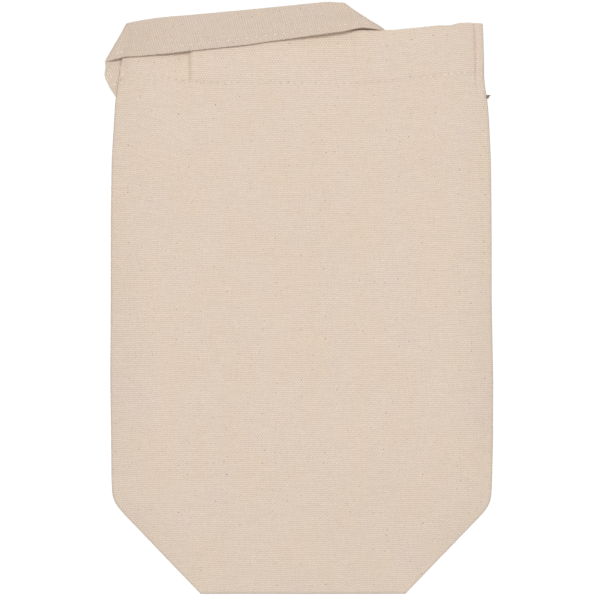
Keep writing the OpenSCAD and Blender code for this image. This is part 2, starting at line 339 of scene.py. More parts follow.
def add_node(material, kind, settings=None, **links):
    """Adds a node. Settings are its own values or those of its inputs, and links are the nodes or
    sockets that feed its inputs, by the input's name or by in_ and its number."""
    node = material.node_tree.nodes.new(kind)
    for name, value in (settings or {}).items():
        if isinstance(name, int) or name in node.inputs:
            node.inputs[name].default_value = value
        else:
            setattr(node, name, value)
    for name, source in links.items():
        key = int(name[3:]) if name.startswith("in_") else name.replace("_", " ")
        socket = source.outputs[0] if isinstance(source, bpy.types.Node) else source
        material.node_tree.links.new(socket, node.inputs[key])
    return node


def thread_wave(material, place, pitch):
    """Pattern of threads side by side: a wave that changes sign with every thread of the pitch."""
    turns = add_node(material, "ShaderNodeMath", {"operation": "MULTIPLY", 1: math.pi / pitch}, in_0=place)
    return add_node(material, "ShaderNodeMath", {"operation": "SINE"}, in_0=turns)


def yarn_grain(material, cloth, width, length, detail, seed):
    """Uneven pattern whose grains have the given width across the cloth and length along it."""
    shift = (seed, seed * 1.7, seed)
    spread = add_node(material, "ShaderNodeMapping", {"Scale": (1 / width, 1 / length, 1), "Location": shift},
                      Vector=cloth)
    return add_node(material, "ShaderNodeTexNoise", {"Scale": 1.0, "Detail": detail, "Roughness": 0.6},
                    Vector=spread)


# Unbleached cotton canvas in plain weave, loom finished: matt and a little fuzzy, with a cell of light
# and dark at each crossing of two threads. The warp is the finer thread, uneven slubs run along both,
# and bits of seed husk stay in the yarn as dark specks.
WARP_PITCH = 0.726 * MM
WEFT_PITCH = 1.017 * MM
STITCH_PITCH = 3.7 * MM
# Mean of a round thread's light, so that the ribs leave the cloth's tone as it is
mean_round = 0.64
# Width, length, share of the slubs' contrast and seed of each grain: thick places along the warp,
# along the weft, and short ones on both
slub_grains = ((0.8 * MM, 9 * MM, 0.5, 3.1), (8 * MM, 1.02 * MM, 0.6, 7.7), (0.75 * MM, 0.8 * MM, 1.0, 1.3))
husk_spacing = 6.5 * MM
fuzz_grain = 0.35 * MM
weave_depth = 0.16 * MM


def woven_canvas(name, colour, check, rib, slub, turn=0.0, stitch_line=None):
    """Check is the contrast between warp and weft knuckles, rib that between the weft's rows and slub
    that of the yarn's thick and thin places. Turn is the angle of the weave on its piece."""
    material, surface = new_material(name, {"Roughness": 0.92, "Specular IOR Level": 0.25,
                                            "Sheen Weight": 0.08})
    cloth = add_node(material, "ShaderNodeUVMap", {"uv_map": "cloth"})
    # the threads wander by about a thread's width
    wander = add_node(material, "ShaderNodeTexNoise", {"Scale": 1 / (16 * MM), "Detail": 1.0}, Vector=cloth)
    moved = add_node(material, "ShaderNodeVectorMath",
                     {"operation": "MULTIPLY_ADD", 1: (1.2 * MM, 1.6 * MM, 0)},
                     in_0=wander.outputs["Color"], in_2=cloth)
    turned = add_node(material, "ShaderNodeMapping", {"Rotation": (0, 0, math.radians(turn))}, Vector=moved)
    axes = add_node(material, "ShaderNodeSeparateXYZ", in_0=turned)
    warp = thread_wave(material, axes.outputs[0], WARP_PITCH)
    weft = thread_wave(material, axes.outputs[1], WEFT_PITCH)
    crossing = add_node(material, "ShaderNodeMath", {"operation": "MULTIPLY"}, in_0=warp, in_1=weft)
    knuckle = add_node(material, "ShaderNodeMath", {"operation": "ABSOLUTE"}, in_0=crossing)
    weft_round = add_node(material, "ShaderNodeMath", {"operation": "ABSOLUTE"}, in_0=weft)
    # each pattern multiplies the cloth's tone by its value times a factor, plus a level
    patterns = [(weft_round, rib, 1 - mean_round * rib), (crossing, check, 1.0)]
    for width, length, share, seed in slub_grains:
        grain = yarn_grain(material, cloth, width, length, 1.0, seed)
        patterns.append((grain, slub * share, 1 - slub * share / 2))
    # painted shade: the sunk knuckles are darkened as small hollows, deeper where the yarn is thin
    sunk = add_node(material, "ShaderNodeMapRange", {"From Min": -0.2, "From Max": -1.0}, in_0=crossing)
    thin = add_node(material, "ShaderNodeMapRange", {"From Min": 0.35, "From Max": 0.7},
                    in_0=yarn_grain(material, cloth, 1.1 * MM, 1.5 * MM, 1.0, 6.1))
    pit_shade = add_node(material, "ShaderNodeMath", {"operation": "MULTIPLY"}, in_0=sunk, in_1=thin)
    patterns.append((pit_shade, -0.8 * slub, 1 + 0.1 * slub))
    cloudy = yarn_grain(material, cloth, 38 * MM, 52 * MM, 2.0, 5.2)
    patterns.append((cloudy, 0.03, 0.985))
    if stitch_line:
        # painted shade: the cloth is darkened at each needle hole between two stitches, for the shade that
        # falls in it
        spot = add_node(material, "ShaderNodeSeparateXYZ", in_0=cloth)
        needle = add_node(material, "ShaderNodeMath", {"operation": "ABSOLUTE"},
                          in_0=thread_wave(material, spot.outputs[0], STITCH_PITCH))
        hole = add_node(material, "ShaderNodeMapRange", {"From Min": 0.3, "From Max": 0.0}, in_0=needle)
        off_line = add_node(material, "ShaderNodeMath", {"operation": "SUBTRACT", 1: stitch_line},
                            in_0=spot.outputs[1])
        distance = add_node(material, "ShaderNodeMath", {"operation": "ABSOLUTE"}, in_0=off_line)
        near = add_node(material, "ShaderNodeMapRange", {"From Min": 0.7 * MM, "From Max": 0.3 * MM},
                        in_0=distance)
        needle_hole_shade = add_node(material, "ShaderNodeMath", {"operation": "MULTIPLY"}, in_0=hole, in_1=near)
        patterns.append((needle_hole_shade, -0.17, 1.0))
    tone = None
    for pattern, factor, level in patterns:
        part = add_node(material, "ShaderNodeMath", {"operation": "MULTIPLY_ADD", 1: factor, 2: level},
                        in_0=pattern)
        tone = part if tone is None else add_node(material, "ShaderNodeMath", {"operation": "MULTIPLY"},
                                                  in_0=tone, in_1=part)
    # the cotton is yellower in some places than in others
    yellow = yarn_grain(material, cloth, 18 * MM, 30 * MM, 2.0, 8.8)
    blue_share = add_node(material, "ShaderNodeMath", {"operation": "MULTIPLY_ADD", 1: -0.12, 2: 1.06},
                          in_0=yellow)
    blue = add_node(material, "ShaderNodeMath", {"operation": "MULTIPLY"}, in_0=tone, in_1=blue_share)
    light = add_node(material, "ShaderNodeCombineColor", in_0=tone, in_1=tone, in_2=blue)
    shaded = add_node(material, "ShaderNodeMix", {"data_type": "RGBA", "blend_type": "MULTIPLY", 0: 1.0,
                      6: linear(colour)}, in_7=light)
    # one bit of husk in each cell of cloth, 0.03 to 0.27 mm in radius and more or less dark
    cells = add_node(material, "ShaderNodeTexVoronoi",
                     {"voronoi_dimensions": "2D", "Scale": 1 / husk_spacing}, Vector=cloth)
    pick = add_node(material, "ShaderNodeSeparateColor", in_0=cells.outputs["Color"])
    size = add_node(material, "ShaderNodeMath", {"operation": "MULTIPLY_ADD", 1: 0.036, 2: 0.005},
                    in_0=pick.outputs[0])
    inside = add_node(material, "ShaderNodeMath", {"operation": "LESS_THAN"}, in_0=cells.outputs["Distance"],
                      in_1=size)
    darkness = add_node(material, "ShaderNodeMath", {"operation": "MULTIPLY_ADD", 1: 0.7, 2: 0.2},
                        in_0=pick.outputs[1])
    husk_share = add_node(material, "ShaderNodeMath", {"operation": "MULTIPLY"}, in_0=inside, in_1=darkness)
    husk = add_node(material, "ShaderNodeMix", {"data_type": "RGBA", 7: linear("#6b4f38")},
                    in_0=husk_share, in_6=shaded.outputs[2])
    material.node_tree.links.new(husk.outputs[2], surface.inputs["Base Color"])
    fuzz = yarn_grain(material, cloth, fuzz_grain, fuzz_grain, 3.0, 2.2)
    height = add_node(material, "ShaderNodeMath", {"operation": "MULTIPLY_ADD", 1: 0.35}, in_0=fuzz,
                      in_2=knuckle)
    relief = add_node(material, "ShaderNodeBump", {"Strength": 0.5, "Distance": weave_depth}, Height=height)
    material.node_tree.links.new(relief.outputs[0], surface.inputs["Normal"])
    return material


canvas = woven_canvas("natural cotton canvas", "#e3d1bf", check=0.07, rib=0.22, slub=0.17,
                      stitch_line=hem_line)
front = grid_piece("front_panel_and_hem", panel_columns, front_rows, front_place, CLOTH, canvas)
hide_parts("front_panel", "front_hem")

# Back panel. The same canvas, with the same hem turned inside. It lies flat on the table below and
# on the two strap runs above, which is why the bag rises towards its mouth.
back_columns = 72
back_panel_rows = 90
back_turn_rows = 6
back_inner_rows = 10
back_rows = back_panel_rows + back_turn_rows + back_inner_rows
back_crowd_across, back_crowd_up = 0.8, 0.3
# The back's mouth edge is held up by the handle, and hangs as the front's does only right of it
back_sag_share = 0.35
held_up_to = 30 * MM
held_fade = 14 * MM
back_slack_from = 0.8
back_slack_over = 0.2


def back_sag(x):
    """How far the back's mouth edge hangs."""
    free = ease((x - middle_x - held_up_to) / held_fade)
    return sag(x, bag_height) * blend_values(back_sag_share, 1, free)


def back_place(u, v):
    """Place of the back panel's middle layer, and its place on the flat cloth."""
    row = (v + 1) / 2 * back_rows
    side = -1 if u < 0 else 1
    share = abs(crowd(u, back_crowd_across))
    turn = min(1.0, max(0.0, row - back_panel_rows) / back_turn_rows)
    down = max(0.0, row - back_panel_rows - back_turn_rows) / back_inner_rows
    t = (crowd(min(1.0, row / back_panel_rows) * 2 - 1, back_crowd_up) + 1) / 2
    cloth_height = t * bag_height - down * hem_depth
    width = half_width(cloth_height, side)
    x = middle_x + side * share * (width - turn * hem_narrower)
    z = back_z(share, cloth_height) + CLOTH / 2
    slack = ease((cloth_height - back_slack_from * bag_height) / (back_slack_over * bag_height))
    height = cloth_height - back_sag(x) * slack
    if turn:
        z += turn_radius * (1 - math.cos(math.pi * turn))
        height += turn_radius * math.sin(math.pi * turn) - turn_radius - CLOTH / 2
    else:
        height = min(height, bag_height - back_sag(x) - CLOTH / 2 - turn_radius)
    flat_height = cloth_height if not turn else 2 * bag_height - cloth_height + turn * CLOTH
    return (x, base_y + height, z), (x - middle_x, flat_height)


back = grid_piece("back_panel_and_hem", back_columns, back_rows, back_place, CLOTH, canvas)
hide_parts("back_panel", "back_hem")

# Hem stitching. One row of lockstitch in plain cotton thread, 3.7 mm a stitch, holds the hem of
# each panel. On the front it follows the slack of the cloth between the handle ends.
stitch_length = 2.9 * MM
stitch_width = 0.65 * MM
stitch_height = 0.4 * MM
# How unevenly a machine sews: sideways in millimetres, and in length
stitch_wander = 0.1
stitch_lengths = (0.88, 1.06)
hem_stitch_reach = 90 * MM
back_stitch_inset = 2.5 * MM
up_front = Vector((0, 0, 1))


def spun_cotton(name, colour):
    """Mercerised cotton thread: a little brighter than the cloth, with a fine twist along it."""
    material, surface = new_material(name, {"Roughness": 0.6, "Sheen Weight": 0.1})
    place = add_node(material, "ShaderNodeTexCoord")
    twist = add_node(material, "ShaderNodeTexNoise", {"Scale": 1 / (0.6 * MM), "Detail": 2.0},
                     Vector=place.outputs["Object"])
    tone = add_node(material, "ShaderNodeMath", {"operation": "MULTIPLY_ADD", 1: 0.22, 2: 0.89}, in_0=twist)
    light = add_node(material, "ShaderNodeCombineColor", in_0=tone, in_1=tone, in_2=tone)
    shade = add_node(material, "ShaderNodeMix", {"data_type": "RGBA", "blend_type": "MULTIPLY", 0: 1.0,
                     6: linear(colour)}, in_7=light)
    material.node_tree.links.new(shade.outputs[2], surface.inputs["Base Color"])
    return material


sewing_thread = spun_cotton("cotton sewing thread", "#f5eada")


def stitch_row(name, points, facing, body, sink=0.06 * MM):
    """A row of stitches: one flattened bead of thread half way between each two points."""
    shape = bmesh.new()
    chance = random.Random(name)
    for low, high in zip(points, points[1:]):
        way = (high - low).normalized()
        up = (facing - way * facing.dot(way)).normalized()
        turn = Matrix((way, up.cross(way), up)).transposed().to_4x4()
        aside = chance.uniform(-stitch_wander, stitch_wander)
        centre = (low + high) / 2 - up * sink + up.cross(way) * aside * MM
        size = (stitch_length * chance.uniform(*stitch_lengths) / 2, stitch_width / 2, stitch_height / 2)
        bmesh.ops.create_icosphere(shape, subdivisions=1, radius=1,
                                   matrix=Matrix.Translation(centre) @ turn @ Matrix.Diagonal((*size, 1)))
    piece = smooth_object(name, shape, sewing_thread)
    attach(piece, body)
    return piece


def on_back(x, height):
    """Point of the back panel's outer face."""
    side = -1 if x < middle_x else 1
    share = min(1.0, abs(x - middle_x) / half_width(height, side))
    return Vector((x, base_y + height, back_z(share, height)))


count = int(hem_stitch_reach / STITCH_PITCH)
stitch_xs = [middle_x + i * STITCH_PITCH for i in range(-count, count + 1)]
# The last stitches before the right seam are slack and stand proud of the cloth
slack_stitch_lift = 0.2 * MM
slack_stitch_from = 76 * MM
slack_stitch_fade = 4 * MM
front_points = []
for x in stitch_xs:
    proud = slack_stitch_lift * ease((x - slack_stitch_from) / slack_stitch_fade)
    front_points.append(on_front(x, hem_line) + Vector((0, 0, proud)))
front_stitches = stitch_row("front_hem_stitches", front_points, up_front, "bag")
back_hem_line = bag_height - hem_depth + back_stitch_inset
back_stitches = stitch_row("back_hem_stitches", [on_back(x, back_hem_line) for x in stitch_xs], -up_front,
                           "bag")

# Boxed base. The base and the two corner triangles are the panels' own canvas, folded up between
# them when the bag is flat, each creased once along its upper edge.
crease_radius = 0.6 * MM
base_layer_z = base_low.z + CLOTH / 2
# The folded pieces stay clear of each other and of the panels' edges
fold_top = base_high.y - base_y - 1.2 * MM
base_foot = 0.3 * MM
corner_foot = 3 * MM
corner_inset = 1.2 * MM
corner_gap = 0.6 * MM


def folded_place(foot, left, right):
    """Gives the place function of a folded piece, from the heights of its foot and its side edges."""
    def place(u, v):
        lift = fold_top - foot
        round_length = math.pi * crease_radius
        run = (v + 1) / 2 * (2 * lift + round_length)
        if run < lift:
            height, z = foot + run, base_layer_z
        elif run < lift + round_length:
            angle = (run - lift) / crease_radius
            height = fold_top + crease_radius * math.sin(angle)
            z = base_layer_z + crease_radius * (1 - math.cos(angle))
        else:
            height, z = fold_top - (run - lift - round_length), base_layer_z + 2 * crease_radius
        x = blend_values(left(height), right(height), (u + 1) / 2)
        return (x, base_y + height, z), (x - middle_x, run)
    return place


base_place = folded_place(base_foot, lambda h: base_low.x, lambda h: base_high.x)
base_fold = grid_piece("folded_base", 60, 60, base_place, CLOTH, canvas)
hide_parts("base_panel")

left_place = folded_place(corner_foot, lambda h: middle_x - half_width(h, -1) + corner_inset,
                          lambda h: base_low.x - corner_gap)
left_corner = grid_piece("left_corner_fold", 24, 50, left_place, CLOTH, canvas)
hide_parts("left_base_corner")

right_place = folded_place(corner_foot, lambda h: base_high.x + corner_gap,
                           lambda h: middle_x + half_width(h, 1) - corner_inset)
right_corner = grid_piece("right_corner_fold", 24, 50, right_place, CLOTH, canvas)
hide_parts("right_base_corner")

# Seam allowances. Two layers of canvas sewn together and overlocked, left inside the bag: one down
# each side and one across each boxed corner.
ALLOWANCE = 1.1 * MM
allowance_columns = 6


def overlocked_edge(name):
    """Canvas edge wrapped in pale loops of overlock thread, one every 2.2 mm."""
    material, surface = new_material(name, {"Roughness": 0.85})
    cloth = add_node(material, "ShaderNodeUVMap", {"uv_map": "cloth"})
    axes = add_node(material, "ShaderNodeSeparateXYZ", in_0=cloth)
    loops = thread_wave(material, axes.outputs[1], 1.1 * MM)
    bars = add_node(material, "ShaderNodeMapRange", {"From Min": 0.2, "From Max": 0.6}, in_0=loops)
    shade = add_node(material, "ShaderNodeMix", {"data_type": "RGBA", 6: linear("#d8c8b2"),
                     7: linear("#efe6d8")}, in_0=bars)
    material.node_tree.links.new(shade.outputs[2], surface.inputs["Base Color"])
    relief = add_node(material, "ShaderNodeBump", {"Strength": 0.6, "Distance": 0.3 * MM}, Height=bars)
    material.node_tree.links.new(relief.outputs[0], surface.inputs["Normal"])
    return material


overlock = overlocked_edge("overlocked canvas edge")


def allowance(name, node, rows):
    """A strip in the place of its CAD node, following how that rises up the bag."""
    low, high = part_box(node)
    points = [v.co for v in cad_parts[node].data.vertices]
    spans = []
    for level in sorted({round(p.y, 5) for p in points}):
        row = [p for p in points if abs(p.y - level) < 0.02 * MM]
        spans.append((level, min(p.x for p in row), max(p.x for p in row),
                      (min(p.z for p in row) + max(p.z for p in row)) / 2))

    def place(u, v):
        y = blend_values(low.y, high.y, (v + 1) / 2)
        x = blend_values(along(spans, y, 1), along(spans, y, 2), (u + 1) / 2)
        return (x, y, along(spans, y, 3)), (x, y)
    piece = grid_piece(name, allowance_columns, rows, place, ALLOWANCE, overlock, edge_bevel=0.3 * MM)
    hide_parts(node)


allowance("left_side_allowance", "left_side_seam", 60)
allowance("right_side_allowance", "right_side_seam", 60)
allowance("left_base_allowance", "left_base_seam", 20)
allowance("right_base_allowance", "right_base_seam", 20)

# Front handle, the run across the front. The handle is a strip of the same canvas folded to four
# layers and topstitched along its lower edge. Here it lies on the front between two slanted folds.
STRAP = 1.2 * MM
# The same canvas, cut on the bias and pressed: a fine slant shows, and fewer slubs stand out
strap_cloth = woven_canvas("folded canvas strap", "#d9c7b6", check=0.12, rib=0.10, slub=0.17, turn=64)
strap_width = right_end_high.x - right_end_low.x
topstitch_inset = 3.2 * MM
topstitch_u = -1 + 2 * topstitch_inset / strap_width
# The section across the strap: its crown falls off at the edges, and the topstitching and the soft
# middle lie lower. Places and widths are shares of half its width
strap_crown = 0.15 * MM
crown_power = 6
topstitch_dip, topstitch_dip_width = 0.22 * MM, 0.1
strap_hollow, hollow_at, hollow_width = 0.45 * MM, 0.15, 0.3


def cad_corner(node, x, y):
    """Corner of a CAD node that lies furthest towards a direction, seen from above."""
    return max((v.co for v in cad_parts[node].data.vertices), key=lambda p: p.x * x + p.y * y).xy


def strap_section(across):
    """Lift of the strap's face at a place across its width, from -1 to 1."""
    crown = strap_crown * (1 - abs(across) ** crown_power)
    dip = topstitch_dip * bump(across - topstitch_u, topstitch_dip_width)
    return crown - dip - strap_hollow * bump(across - hollow_at, hollow_width)


upper_right = cad_corner("front_handle_crossing", 0, 1)
lower_right = cad_corner("front_handle_crossing", 1, 0)
lower_left = cad_corner("front_handle_crossing", -1, 0)
upper_left = cad_corner("front_handle_crossing", -1, 2)
crossing_way = (lower_left - lower_right).normalized()
crossing_across = Vector((-crossing_way.y, crossing_way.x))
crossing_crowd = 0.5
over_front = 0.8 * MM + STRAP / 2
left_fold_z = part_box("front_handle_crossing")[0].z + STRAP / 2
# How far from a fold the strap starts to bend over it, and how far it drops
fold_roll = 3.2 * MM
fold_drop = 1.3 * MM
# Left of the bag the strap goes down to its fold, from a little inside the bag's edge
least_rise = 1.0 * MM
dive_from = 4 * MM
dive_over = 9 * MM
# Past the mouth nothing carries the strap: it drops, and is drawn back a little. Its height there
# follows the cloth a little below the mouth
mouth_margin = 6 * MM
past_from = 3 * MM
past_over = 13 * MM
overhang_drop = 2 * MM
overhang_pull = 0.6 * MM
# The lower edge stands off the slack front in a long bridge, and a little more beside the right fold:
# how high, where on the way to that fold, and how far along
bridge_lift, bridge_at, bridge_reach = 2.6 * MM, 0.79, 0.12
fold_lift, fold_lift_at, fold_lift_reach = 0.4 * MM, 0.9, 0.05
# How far the right fold's lower corner sinks towards the mouth, and how its upper one is rounded
corner_pull = Vector((1.0 * MM, -2.8 * MM))
corner_pull_curve = 1.3
corner_pull_from, corner_pull_over = 0.9, 0.1
corner_round = 5 * MM
corner_round_share = 0.08
# How far the lower edge is drawn up, as shares of the width, at shares of the way to the right fold
crossing_lift = [(0, -0.02), (0.05, 0.03), (0.075, 0.035), (0.12, -0.01), (0.22, -0.045), (0.3, -0.035),
                 (0.5, -0.03), (0.58, 0), (0.77, 0.024), (0.85, 0.045), (0.905, 0.1), (0.94, 0.15),
                 (0.966, 0.17), (1, 0.16)]


def rolled(distance, drop):
    """Drop of a strap that bends over a fold, at a distance back from the fold line."""
    if distance > fold_roll:
        return 0.0
    return drop * (1 - max(0.0, distance) / fold_roll) ** 2


def past_mouth(y):
    """How far the strap has left the cloth at the mouth, from 0 to 1."""
    return ease((y - base_y - bag_height + past_from) / past_over)


def crossing_place(u, v):
    """u runs from the lower to the upper edge, v from the left fold to the right one."""
    t = (crowd(v, crossing_crowd) + 1) / 2
    low = lower_left.lerp(lower_right, t)
    high = upper_left.lerp(upper_right, t)
    spot = low.lerp(high, (u + 1) / 2)
    height = min(spot.y - base_y, bag_height - mouth_margin)
    reach = half_width(height, -1)
    out = (middle_x - spot.x) - reach
    share = min(1.0, max(0.0, (middle_x - spot.x) / reach)) if spot.x < middle_x else 0.0
    z = max(front_z(share, height) + over_front, left_fold_z + least_rise)
    z = blend_values(z, left_fold_z, ease((out + dive_from) / dive_over))
    free = past_mouth(spot.y) * ease((t - 0.1) / 0.2)
    z -= overhang_drop * free
    spot.y -= overhang_pull * free
    z += fold_lift * bump(t - fold_lift_at, fold_lift_reach) * ((1 - u) / 2) ** 2
    z += bridge_lift * bump(t - bridge_at, bridge_reach) * (1 - u) / 2
    spot = spot.lerp(high, along(crossing_lift, t, 1))
    pull = ease((t - corner_pull_from) / corner_pull_over)
    spot += corner_pull * ((1 - u) / 2) ** corner_pull_curve * pull
    spot = spot.lerp(low, corner_round_share * bump((spot - upper_right).length, corner_round))
    length = (lower_right - lower_left).length
    z -= rolled(t * length, fold_drop) + rolled((1 - t) * length, fold_drop)
    flat = spot - lower_right
    return (spot.x, spot.y, z + strap_section(u)), (flat.dot(crossing_across), flat.dot(crossing_way))


def strap_piece(name, columns, rows, place, body, *nodes, cloth=strap_cloth):
    """A stretch of strap in the place of its CAD nodes."""
    piece = grid_piece(name, columns, rows, place, STRAP, cloth, body, edge_bevel=0.4 * MM)
    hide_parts(*nodes)
    return piece


crossing = strap_piece("strap_across_front", 22, 130, crossing_place, None, "front_handle_crossing")
# The visual cloth bends from 0.8 to 4 mm inside the right fold's line
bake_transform(crossing)

# Front handle, the short rise out of the mouth, in one with the right end, which is sewn inside the
# hem. It turns on the mouth's edge when the handle is pulled up.
riser_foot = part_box("front_handle_riser")[0].y
riser_top_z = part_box("front_handle_riser")[1].z - STRAP / 2
right_end_z = (right_end_low.z + right_end_high.z) / 2
# The rise leans to the left by this slant. Its lean and its lift start a little below the mouth
riser_slant = math.tan(math.radians(19.3))
lean_from, lean_over = 7 * MM, 9 * MM
lift_from, lift_over = 2 * MM, 8 * MM
crease_pull = Vector((-0.4, -1)) * 1.6 * MM


def right_end_place(u, v):
    """v runs from the sewn end's foot up to the right fold."""
    x_share = (u + 1) / 2
    x_sewn = blend_values(right_end_low.x, right_end_high.x, x_share)
    crease = upper_right.lerp(lower_right, x_share)
    corner = (crease - upper_right).length
    crease += crease_pull * bump(corner, corner_round)
    crease += corner_pull * x_share ** corner_pull_curve
    crease.y -= overhang_pull * past_mouth(crease.y)
    y = blend_values(right_end_low.y, crease.y, (v + 1) / 2)
    lean = ease((y - (riser_foot - lean_from)) / lean_over)
    x = blend_values(x_sewn, crease.x + (crease.y - y) * riser_slant, lean)
    z = blend_values(right_end_z, riser_top_z, ease((y - riser_foot + lift_from) / lift_over))
    z -= overhang_drop * past_mouth(y)
    z += rolled(crease.y - y, fold_drop)
    return (x, y, z + strap_section(-u)), (x - right_end_low.x, y)


right_end = strap_piece("right_end_and_rise", 22, 60, right_end_place, None, "front_handle_right_end",
                        "front_handle_riser")
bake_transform(right_end)

# Front handle, the left end. It is sewn inside the front hem, comes out of the mouth, goes over the
# back hem and returns down behind the bag to its low fold.
return_top_left = cad_corner("front_handle_return", -1, 2)
return_top_right = cad_corner("front_handle_return", 1, 1)
return_low_left = cad_corner("front_handle_return", -1, -1)
return_low_right = cad_corner("front_handle_return", 1, -1)
return_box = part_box("front_handle_return")
return_z = (return_box[0].z + return_box[1].z) / 2
left_sewn_z = left_end_high.z - STRAP / 2
turn_y = return_top_left.y - 0.1 * MM
turn_bulge = 1.2 * MM
turn_slack = 2.0 * MM


def left_end_place(u, v):
    """v runs from the sewn end's foot, up, over the back hem and down to the low fold."""
    x_share = (u + 1) / 2
    low = return_low_left.lerp(return_low_right, x_share)
    high = return_top_left.lerp(return_top_right, x_share)
    sewn = turn_y - left_end_low.y - turn_bulge
    drop = left_sewn_z - return_z
    over = turn_slack + drop
    back_run = (high - low).length
    run = (v + 1) / 2 * (sewn + over + back_run)
    x_sewn = blend_values(left_end_low.x, left_end_high.x, x_share)
    if run < sewn:
        place = (x_sewn, left_end_low.y + run, left_sewn_z)
    elif run < sewn + over:
        t = (run - sewn) / over
        place = (blend_values(x_sewn, high.x, t), left_end_low.y + sewn + turn_bulge * math.sin(math.pi * t),
                 return_z + drop / 2 * (1 + math.cos(math.pi * t)))
    else:
        spot = high.lerp(low, (run - sewn - over) / back_run)
        place = (spot.x, spot.y, return_z - rolled(back_run - (run - sewn - over), fold_drop))
    return place, (x_share * strap_width, run)


left_end = strap_piece("left_end_and_return", 20, 130, left_end_place, None, "front_handle_left_end",
                       "front_handle_return")
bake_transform(left_end)

# Front handle, the run behind the bag from the left fold to the low fold. Its upper end shows as a
# small triangle left of the bag, bowed out where the stiff strap turns under.
tail_upper_right = cad_corner("front_handle_tail", 0, 1)
tail_upper_left = cad_corner("front_handle_tail", -1, 0)
tail_low_left = cad_corner("front_handle_tail", -0.3, -1)
tail_low_right = cad_corner("front_handle_tail", 1, -1)
tail_flat_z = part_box("front_handle_tail")[0].z + STRAP / 2
tail_inner_z = back_level - STRAP / 2
tail_outer_z = left_fold_z - STRAP - 0.6 * MM
tail_drop = 0.8 * MM
# Where it rises from the table to the left fold, as shares of its length
tail_rise_from, tail_rise_over = 0.6, 0.38
# How far the tail bows out, at distances from the left fold, in millimetres
tail_bow = [(0, 0.4), (4.5, 2.3), (7.9, 4.3), (9.5, 4.7), (15, 4.9), (21.8, 3.9), (40, 1.8), (62, 0)]


def tail_place(u, v):
    """u runs from the inner to the outer edge, v from the low fold up to the left one."""
    t = (v + 1) / 2
    low = tail_low_right.lerp(tail_low_left, (u + 1) / 2)
    high = tail_upper_right.lerp(tail_upper_left, (u + 1) / 2)
    spot = low.lerp(high, t)
    length = (high - low).length
    from_fold = (1 - t) * length
    bow = along(tail_bow, from_fold / MM, 1) * MM
    top_z = blend_values(tail_inner_z, tail_outer_z, (u + 1) / 2)
    z = blend_values(tail_flat_z, top_z, ease((t - tail_rise_from) / tail_rise_over))
    z += rolled(from_fold, tail_drop) + rolled(t * length, tail_drop)
    return (spot.x - bow, spot.y, z), ((u + 1) / 2 * strap_width, from_fold)


# The strap's other face is turned up here, with its slant at another angle. It is painted a little paler
# than the strap: painted light, for the light that reaches it beside the bag
strap_underside_painted_lighter = woven_canvas("strap back face, painted lighter", "#dfcfbd", check=0.12, rib=0.10, slub=0.2,
                               turn=30)
strap_piece("strap_behind_bag", 20, 80, tail_place, "handle_tail", "front_handle_tail",
            cloth=strap_underside_painted_lighter)

# Topstitching of the front handle, one row of the same thread 3 mm from the strap's lower edge. It
# is sunk into the strap, so that only the tops of its stitches show.
topstitch_sink = 0.11 * MM
on_strap = Vector((0, 0, STRAP / 2))
crossing_count, crossing_start, crossing_run = 36, -0.985, 1.95
crossing_vs = [crossing_start + crossing_run * i / crossing_count for i in range(crossing_count + 1)]
crossing_points = [Vector(crossing_place(topstitch_u, v)[0]) + on_strap for v in crossing_vs]
stitch_row("crossing_topstitch", crossing_points, up_front, "handle_crossing", sink=topstitch_sink)
tail_count, tail_start, tail_run = 13, 0.94, 1.6
tail_vs = [tail_start - tail_run * i / tail_count for i in range(tail_count + 1)]
tail_points = [Vector(tail_place(-topstitch_u, v)[0]) + on_strap for v in tail_vs]
stitch_row("tail_topstitch", tail_points, up_front, "handle_tail", sink=topstitch_sink)

# Loose thread. A short tail of the overlock seam's threads stands out of the right side below the
# hem, in five ends that fan out. Its dark grey-brown is painted shade, for the shadow it lies in.
thread_root = Vector((middle_x + half_width(262.5 * MM, 1), base_y + 265.9 * MM, back_level + 1.6 * MM))
# For each end, in millimetres: how far up its root lies, how far out its tip reaches and how far up
thread_ends = ((0.1, 1.9, 0.1), (-0.1, 1.6, -0.3), (-0.4, 1.3, -0.7), (-0.7, 1.0, -1.1), (-0.9, 0.8, -1.6))
loose = bpy.data.curves.new("overlock_tail", "CURVE")
loose.dimensions = "3D"
loose.bevel_depth = 0.22 * MM
loose.bevel_resolution = 1
for rise, reach, lean in thread_ends:
    strand = loose.splines.new("BEZIER")
    strand.bezier_points.add(1)
    ends = (thread_root + Vector((-1.2, rise, 0)) * MM, thread_root + Vector((reach, lean, 0.5)) * MM)
    for point, spot in zip(strand.bezier_points, ends):
        point.co = spot
        point.handle_left = spot - Vector((0.8, 0.3 * rise, 0.2)) * MM
        point.handle_right = spot + Vector((0.8, 0.3 * rise, 0.2)) * MM
# painted shade: the thread's colour is darkened for the shadow it lies in beside the bag
loose.materials.append(spun_cotton("overlock thread painted in shade", "#8d7f70"))
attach(add_object("overlock_tail", loose), "bag")

# Rear handle. A second strap like the front one, sewn inside the back hem at both ends and folded
# down into the mouth, where it lies on the back panel out of sight.
rear_left_low, rear_left_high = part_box("rear_handle_left_end")
rear_right_low, rear_right_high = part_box("rear_handle_right_end")
loop_low, loop_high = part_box("rear_handle_loop")
rear_sewn_z = (rear_left_low.z + rear_left_high.z) / 2
loop_top_z = loop_high.z - STRAP / 2
loop_flat_z = loop_low.z + STRAP / 2
# The loop comes down to the back panel by this share of its depth
loop_level_share = 0.7
loop_level_y = base_y + bag_height - loop_level_share * (loop_high.y - loop_low.y - strap_width / 2)
below_mouth = 2 * MM


